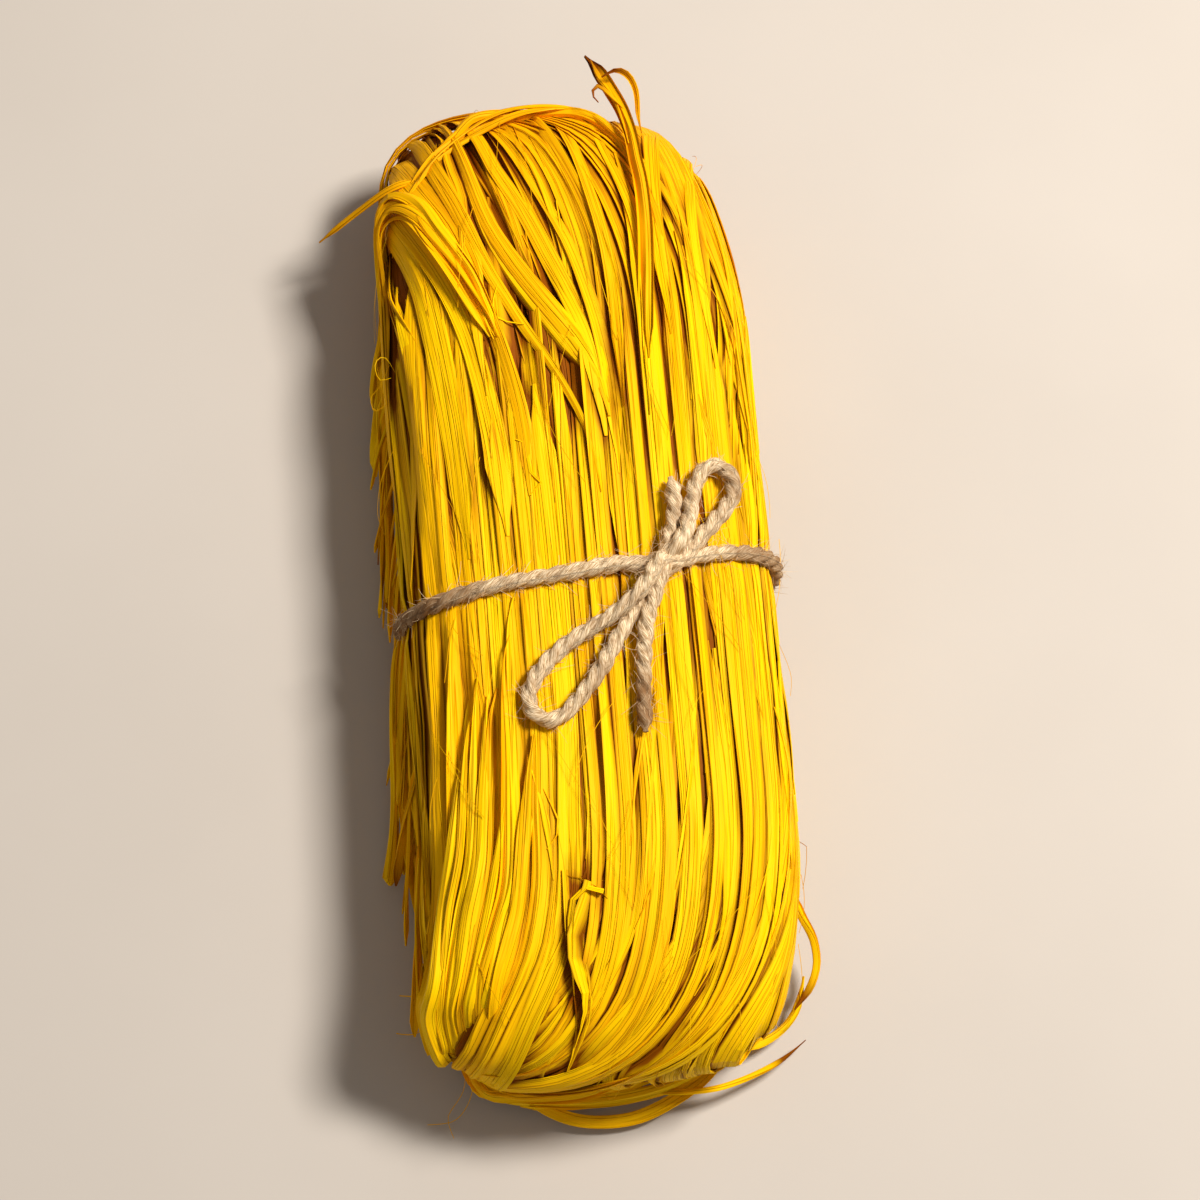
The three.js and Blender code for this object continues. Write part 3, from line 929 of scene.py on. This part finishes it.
# %% Meshes of the strips
level = blurred(heights, 2.8 * MM, 12 * MM) + 0.1 * MM
local = blurred(heights, 0.8 * MM, 3 * MM)
press = press_map()
print(f"pile {heights.mean() / MM:.1f} mm thick, bumps {np.std(heights - level) / MM:.2f} mm")
LAYERS = {
    "deep_strips": deep, "middle_strips_1": middle[0::2], "upper_strips_1": upper[0::2],
    "middle_strips_2": middle[1::2], "upper_strips_2": upper[1::2], "cover_strips": cover,
    "led_strips": led_strips, "wall_strips": wall,
}
pieces = [raffia_piece(name, tubes_of(strips)) for name, strips in LAYERS.items()]
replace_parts(pieces[0], "wound_strands", "near_left_fold")

# %% [markdown]
# A strip that leaves the bundle is a ribbon along its own curve in space, slightly twisted, because a dry
# strip curls when nothing holds it. Its tip tapers, and some tips have dried brown.

# %% Loose strips
PACE = 1.5  # millimetres from one section of a loose strip to the next
BROWN_REACH = 9  # millimetres of dry brown at a tip


def loose(points, width, roll=0.0, twist=0.3, columns=5, brown=0.0, taper=5.0, lead=4, thick=0.25 * MM):
    """A strip that leaves the bundle, along a route in millimetres from the middle of the underside."""
    line, _ = smooth_line(HANK + np.array(points) * MM, PACE * MM)
    count = len(line)
    steps = np.arange(count)
    _, side, up = directions(line)
    turn = np.interp(steps / count, np.linspace(0, 1, np.size(roll)), np.atleast_1d(roll))
    turn = turn + wander(count, 25 * MM, twist)
    level_way = np.cos(turn)[:, None] * side + np.sin(turn)[:, None] * up
    stand_way = np.cos(turn)[:, None] * up - np.sin(turn)[:, None] * side
    spots = SPREAD[list(COLUMNS[columns])]
    tips = np.clip(steps[::-1] * PACE / taper, 0.15, 1) * np.clip(steps / lead, 0.15, 1)
    widths = width * MM * tips * np.clip(1 + wander(count, 20 * MM, 0.12), 0.6, 1.3)
    rough = rng.normal(0, 0.1, columns) + wander(count, 15 * MM, 0.06, columns) + (0.25 - spots**2) * 0.7
    places = line[:, None] + (widths[:, None] * spots)[..., None] * level_way[:, None]
    places = places + (rough * widths[:, None])[..., None] * stand_way[:, None]
    half = stand_way[:, None] * thick / 2
    sections = np.concatenate([places + half, (places - half)[:, ::-1]], 1)
    sections[..., 2] = np.maximum(sections[..., 2], 0.1 * MM)
    u = widths[:, None] * spots + rng.random()
    v = np.broadcast_to((steps * PACE * MM)[:, None], u.shape) + rng.random()
    uv = np.stack([np.concatenate([u, u[:, ::-1]], 1), np.concatenate([v, v], 1)], -1)
    stained = np.clip(brown * (1 - steps[::-1] * PACE / BROWN_REACH), 0.08, 1)[:, None]
    return sections, uv, rng.random(), stained


# %% [markdown]
# These strands stand out most: a spike with a brown tip and a curl at the far end, a tip at the far left,
# and loops and a tip at the near end. Each stands for a solid of the frame.

# %% Strands that leave the bundle
spike = loose([
    (14, 40, 38.4), (14.6, 54, 38.5), (15.6, 68, 38.4), (15.6, 78, 38), (15, 84, 37.4), (14.6, 90, 36.6),
    (13.6, 96, 35.2), (12, 101, 33.8), (10, 106, 32.6), (7.2, 110.5, 32),
], 3.0, roll=0.5, brown=1.4)
blade = loose([
    (14, 88, 36.8), (13, 96, 35.4), (11.6, 101, 34.2), (9.6, 105, 33.4), (8.2, 109, 33.2),
], 1.6, roll=-0.6, brown=0.6)
curl = loose([
    (17.4, 92, 33), (17.2, 97, 31.5), (17, 101, 33.5), (15.4, 103.6, 36), (12.6, 104.4, 37.4),
    (9.6, 103, 37),
], 1.3, roll=0.8, brown=1.2)
small_curl = loose([
    (14, 96, 35.6), (11.5, 99, 36), (9, 101.4, 36.4), (7.4, 99.6, 36.6), (8.6, 97.6, 36.4),
], 1.0, brown=1.2)
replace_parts(raffia_piece("far_spike", [spike, blade]), "far_spike")
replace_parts(raffia_piece("far_curl", [curl, small_curl]), "far_curl")
left_tip = loose([
    (-27, 85.4, 28), (-32, 84.4, 28.6), (-36, 83.4, 26.5), (-40.5, 82, 22), (-45, 80.4, 17.5),
    (-49, 78.6, 14),
], 1.4, roll=0.3, brown=0.5)
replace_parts(raffia_piece("far_left_tip", [left_tip]), "far_left_tip")
near_loop = loose([
    (-26, -96, 12), (-20.5, -99.4, 8), (-15, -102.8, 4.6), (-9.6, -105, 3), (-3.6, -105.8, 2.4),
    (3.4, -105.2, 2.4), (10.4, -102.6, 4), (16.6, -99.2, 7), (21, -95, 11),
], 2.6, roll=0.2, taper=2)
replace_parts(raffia_piece("near_loop", [near_loop]), "near_loop_strand")
near_tip = loose([
    (0, -99, 9), (4.6, -101.4, 9), (10.6, -102, 8.2), (18.4, -101.4, 6.6), (26, -99, 5.2), (32.4, -96, 4.2),
    (37.4, -92.4, 4),
], 1.6, roll=0.4, brown=2.6, taper=8)
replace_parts(raffia_piece("near_tip", [near_tip], "raffia_tip"), "near_tip_strand")
right_loop = [
    loose([(35, -62, 14), (37.6, -69, 12), (40, -73, 9), (40.6, -78, 7), (38.8, -82.6, 6),
           (35.6, -86.4, 5.4)], 1.4, roll=0.8, brown=1.2),
    loose([(38, -80, 6), (36.4, -86, 4.6), (33, -90, 4), (28, -92.6, 4.4), (22, -93.6, 6)], 1.8, roll=0.2),
    loose([(33, -80, 14), (31, -88, 9), (26, -93, 7), (20, -96, 7)], 2.4, roll=0.9),
]
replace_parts(raffia_piece("right_loop", right_loop), "right_loop_strand")

# %% [markdown]
# At the near left corner a lock of strips is folded over sharply and stands off the bundle. It is laid point
# by point in space, because the skin of the bundle is too smooth there.

# %% Lock at the near left corner
def jitter(route, size):
    """A route with each of its points moved a little."""
    return [tuple(np.array(place) + rng.normal(0, size, 3)) for place in route]


def on_top(x, y, lift):
    """A place in millimetres a lift above the skin of the top."""
    across = math.copysign(np.interp(abs(x) * MM, ACROSS[1], ACROSS[0]), x)
    place = skin(np.array([across]), np.array([y * MM]), np.array([-lift * MM]))
    return tuple((place[0] - HANK) / MM)


near_lock = []
for layer in range(2):
    for share in np.linspace(0, 1, 9):
        inward = 1.6 * layer
        x = -36.4 + 12.4 * share
        start = rng.uniform(-45, -5)
        route = [
            on_top(x + 9, start, 0.2 - inward), on_top(x + 7.5, start - 9, 1.2 - inward),
            on_top(x + 5.6, -61, 1.5 - inward), on_top(x + 3.4, -73, 1.8 - inward),
            (x - 0.6, -83, 31.4 + 3.6 * share - inward),
            (x - 1.4 - share, -88.6 + inward, 27 + 4 * share - inward),
            (x - 0.4 - share, -93.4 + inward, 21 + 1.6 * share),
            (x + 0.4 - share, -95.2 + 1.6 * share + inward, 18.4),
            (x + 1.2 - share, -94 + 1.6 * share + inward, 16.2),
            (x + 2.4, -88, 14.6 - inward), (x + 4, -80, 14),
        ]
        moved = jitter(route, 0.3)
        width = rng.uniform(1.6, 3.4)
        near_lock.append(loose(moved, width, twist=0.3, taper=2, lead=14))
raffia_piece("near_left_lock", near_lock)

# %% [markdown]
# Below that lock the strips come round the near end in a stack, most of them on edge. The lower ones start
# at the right corner, and the upper ones turn up again at the left corner.

# %% Stack at the near end
near_stack = []
for number in range(9):
    low = rng.uniform(-1, 1)
    route = [
        (31, -79 + rng.uniform(-2, 2), 13 - 3 * low), (27.6, -87.6, 10.6 - 3 * low),
        (20.4, -95, 8.4 - 3 * low), (10, -100.4, 7 - 3 * low), (0, -102.4, 6.4 - 2.6 * low),
        (-10, -102.8, 6 - 2.4 * low), (-20, -101.8, 6 - 2 * low),
    ]
    near_stack.append(loose(jitter(route, 0.3), rng.uniform(1.2, 3), roll=rng.uniform(0.9, 1.5), taper=3))
for number in range(20):
    low = rng.uniform(-1, 1)
    route = [
        (27, -80 + rng.uniform(-2, 2), 22 - 5 * low), (21, -89.4, 19 - 6 * low),
        (11, -96.6 + 0.6 * low, 15.4 - 6 * low), (0, -100.2, 12.6 - 5.4 * low),
        (-10, -101.6, 11 - 4.6 * low), (-20, -101.2 + 0.6 * low, 9.6 - 3.6 * low),
        (-26.4 - rng.random(), -99.6 + 0.6 * low, 9 - 3 * low), (-29.4, -96, 9.6 - 3 * low),
        (-33, -88, 11 - 3 * low),
    ]
    first = rng.integers(0, 4)
    moved = jitter(route[first:], 0.35)
    width = rng.uniform(0.8, 2.6)
    near_stack.append(loose(moved, width, roll=rng.uniform(0.9, 1.5), taper=2))
raffia_piece("near_stack", near_stack)

# %% [markdown]
# At the far left corner another lock turns back on itself, and the strips under it run across the far end.

# %% Lock at the far left corner
far_lock = []
for number in range(7):
    out = 0.9 * number
    route = [
        (-15 - 0.5 * out, 46, 37.4), (-20 - 0.7 * out, 60, 37 - 0.1 * out),
        (-25.6 - 0.6 * out, 70.4 - 0.3 * out, 35.8),
        (-30 - 0.3 * out, 77.6 - 0.6 * out, 34 - 0.2 * out), (-34.6, 80.6 - 0.8 * out, 31 - 0.2 * out),
        (-37, 79 - 0.9 * out, 27), (-37.2, 73 - out, 23), (-36.8, 61 - out, 20), (-36.2, 43 - out, 17),
    ]
    far_lock.append(loose(jitter(route, 0.3), rng.uniform(1.4, 3), twist=0.35, taper=4))
for number in range(13):
    low = rng.uniform(-1.2, 1)
    route = [
        (-35, 70.6, 24 - 2 * low), (-31.6, 80.8, 26 - 3 * low), (-24.8, 89.6 + 0.4 * low, 27.6 - 3 * low),
        (-16, 96.4, 28.6 - 2.4 * low), (-6, 99, 28.6 - 2.4 * low), (4, 98.4, 29 - 1.6 * low),
        (11, 93.6, 31.4 - low), (15, 85, 34), (16.4, 72, 36),
    ]
    last = rng.integers(6, 10)
    first = rng.integers(0, 3)
    roll = (1.2, 0.2) if number > 2 else 0.2
    far_lock.append(loose(jitter(route[first:last], 0.6), rng.uniform(0.9, 2.4), roll=roll, taper=3))
raffia_piece("far_left_lock", far_lock)

# %% [markdown]
# Low on the left side the cut ends of the strips hang out in four loose groups. They bend outward as they
# drop.

# %% Cut ends on the left side
LEFT_ENDS = {
    "left_end_far": (2.6, [(-37, 46, 15), (-38.4, 40, 13), (-39.2, 28, 11), (-39.6, 16, 9), (-40.4, 6, 7),
                           (-41.2, -1, 5.6)]),
    "left_end_middle": (2.2, [(-37.6, 38, 10), (-38.6, 30, 8), (-39, 18, 6.6), (-38.8, 8, 5.4),
                              (-38.4, 0, 4.4)]),
    "left_end_long": (3.0, [(-37.2, -6, 14), (-38.6, -12, 12), (-39.6, -24, 9.6), (-40.2, -36, 7.6),
                            (-41, -47, 5.8), (-42.4, -56.5, 4)]),
    "left_end_near": (2.6, [(-37.4, -34, 9), (-38.4, -40, 7.6), (-38.4, -50, 6), (-37.6, -60, 4.4),
                            (-35.8, -68.6, 3)]),
}
for name, (width, route) in LEFT_ENDS.items():
    group = [loose(route, width, roll=1.0, taper=1.5)]
    for _ in range(3):
        shift = np.array([rng.uniform(0.2, 1.6), rng.uniform(-9, 9), rng.uniform(-2, 4)])
        near = [tuple(np.array(place) + shift) for place in route[: rng.integers(4, len(route) + 1)]]
        group.append(loose(near, rng.uniform(0.7, 2.0), roll=rng.uniform(0.4, 1.4), taper=1.5, columns=4))
    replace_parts(raffia_piece(name, group, "raffia_shaded"), name)

# %% [markdown]
# Between those groups many short ends stick out, so the left edge looks ragged from above. They are shorter
# and narrower than the rest, and their places and lengths are random.

# %% Ragged left side
ragged = []
for number in range(26):
    y = 62 - 5 * number + rng.uniform(-2, 2)
    low = rng.uniform(3, 13)
    out = rng.uniform(-1.5, 1.8)
    length = rng.uniform(10, 30)
    route = [(-35.4, y + 8, low + 9), (-37.2, y, low + 6), (-38.6 - 0.5 * out, y - 0.4 * length, low + 3),
             (-39.4 - out, y - 0.8 * length, low + 0.6), (-39.6 - 1.3 * out, y - length, low - 0.6)]
    ragged.append(loose(route, rng.uniform(0.6, 2.4), roll=rng.uniform(0.5, 1.5), taper=rng.uniform(1, 4),
                        columns=4, brown=rng.choice([0.1, 0.1, 0.8])))
raffia_piece("ragged_left_side", ragged, "raffia_shaded")

# %% [markdown]
# Splitting raffia leaves hairs a tenth to a quarter of a millimetre thick. A few that curl off the sides are
# given one by one, and the rest lie anywhere on the bundle with a random bend.

# %% Hairs
def fine_hair(points, radius=0.07):
    """A hair along a route, all in millimetres."""
    line, _ = smooth_line(HANK + np.array(points) * MM, 1.2 * MM)
    sections = round_tube(line, radius * MM, ring(3))
    sections[..., 2] = np.maximum(sections[..., 2], 0.05 * MM)
    return sections, np.zeros((len(line), 3, 2)), rng.random(), 0.1


hairs = [
    fine_hair([(-36, 44, 26), (-38, 47, 27), (-40, 45.4, 27.6), (-39.4, 42, 27.4), (-37, 42.4, 27)]),
    fine_hair([(-37, 46, 25), (-39, 42, 24), (-41, 40, 23), (-40.4, 37, 23), (-38, 38, 24)]),
    fine_hair([(-38, 56, 22), (-39.4, 50, 22), (-39, 44, 23), (-38, 38, 24)]),
    fine_hair([(-37, 28, 26), (-40, 22, 24), (-41, 16, 20), (-39.6, 12, 18)]),
    fine_hair([(-30, -92, 12), (-29, -97, 8), (-30, -101, 5), (-33, -104, 3), (-38, -104, 1)], 0.09),
    fine_hair([(-30, -93, 10), (-31, -99, 6), (-34, -103, 3), (-33, -107, 1)], 0.09),
    fine_hair([(-34, -78, 14), (-38, -80, 9), (-42, -79, 5)], 0.14),
    fine_hair([(-34, -83, 12), (-39, -87, 7), (-43, -86, 3)], 0.12),
]
for _ in range(90):
    across, along = rng.uniform(-0.98, 0.98) * EDGE, rng.random() * LAP
    length = rng.uniform(6, 26) * MM
    t = np.linspace(0, 1, 8)
    away = rng.normal(0, 0.35) * length * t + rng.normal(0, 0.2) * length * t**2
    lift = (0.9 + rng.uniform(0.2, 2.2) * np.sin(math.pi * t * rng.uniform(0.5, 1))) * MM
    line = skin(np.clip(across + away, -EDGE, EDGE), along + length * t * rng.choice([-1, 1]), -lift)
    sections = round_tube(line, rng.uniform(0.04, 0.08) * MM, ring(3))
    hairs.append((sections, np.zeros((8, 3, 2)), rng.random(), 0.1))
raffia_piece("hairs", hairs, sharp=80)

# %% [markdown]
# Deep in the gaps the bundle is a packed mass of strips that no light reaches. One closed shape stands for
# it, so that no gap lets light through the hank. Its colour is almost wholly painted shade.

# %% Packed middle
COAT = 6 * MM  # how far it lies below the skin
turn = ring(48)
stations = np.linspace(-1, 1, 40) * 0.998
shrink = np.sqrt(1 - np.abs(stations) ** END_POWER)
wide = np.sign(np.cos(turn)) * np.abs(np.cos(turn)) ** 0.7 * (WIDTH / 2 - COAT)
tall = np.sign(np.sin(turn)) * np.abs(np.sin(turn)) ** 0.7 * (ROUND - COAT)
bend = (np.clip(np.abs(stations) - LEAN_STARTS, 0, 1) / (1 - LEAN_STARTS)) ** 2
lean = np.where(stations > 0, LEAN_FAR, LEAN_NEAR) * bend
x = wide[None, :] * (1 - 0.5 * lean[:, None]) - WIDTH / 4 * lean[:, None]
z = HEIGHT - ROUND + tall[None, :] * shrink[:, None]
y = np.broadcast_to((stations * (LENGTH / 2 - COAT))[:, None], x.shape)
core_sections = np.stack([x, y, np.maximum(z, 5 * MM)], -1) + HANK
core_uv = np.stack([np.broadcast_to(turn / (2 * math.pi) * 0.16, x.shape), y], -1)
# Painted shade: the packed middle takes nearly the full dark red shade colour.
raffia_piece("packed_strips", [(core_sections, core_uv, 0.8, 0.9)])

# %% [markdown]
# The hank lies on a plain matt surface. One lamp from the far right gives the short shadow on the left, a
# weak lamp fills the shadows, and a warm world lightens the rest. The floor's tone varies a little.

# %% Floor and light
bpy.ops.mesh.primitive_plane_add(size=6)
floor = bpy.context.object
floor.name = "floor"
ground = Finish("floor", Roughness=0.8)
cloudy = ground.noise(ground.node("ShaderNodeTexCoord", output="Object"), 9.0, 5.0)
tone = ground.mix(cloudy, (0.50, 0.46, 0.42, 1), (0.58, 0.54, 0.50, 1))
ground.feed(ground.shader.inputs["Base Color"], tone)
floor.data.materials.append(ground.material)


def lamp(name, azimuth, elevation, distance, size, power, colour=(1, 1, 1)):
    """A square lamp that shines on the hank, from angles in degrees."""
    a, e = math.radians(azimuth), math.radians(elevation)
    away = Vector((math.sin(a) * math.cos(e), -math.cos(a) * math.cos(e), math.sin(e)))
    light = bpy.data.objects.new(name, bpy.data.lights.new(name, "AREA"))
    light.data.size = size
    light.data.energy = power
    light.data.color = colour
    light.location = Vector(HANK) + away * distance
    light.rotation_euler = away.to_track_quat("Z", "Y").to_euler()
    scene.collection.objects.link(light)


lamp("key", 111, 57, 1.2, 0.3, 20.5, (1, 0.94, 0.86))
lamp("fill", -50, 60, 1.5, 1.2, 0.6)
print(f"{len(bpy.data.lights)} lamps")
world = bpy.data.worlds.new("world")
scene.world = world
world.use_nodes = True
world.node_tree.nodes["Background"].inputs["Color"].default_value = (1, 0.9, 0.8, 1)
world.node_tree.nodes["Background"].inputs["Strength"].default_value = 0.23
scene.view_settings.view_transform = "Standard"
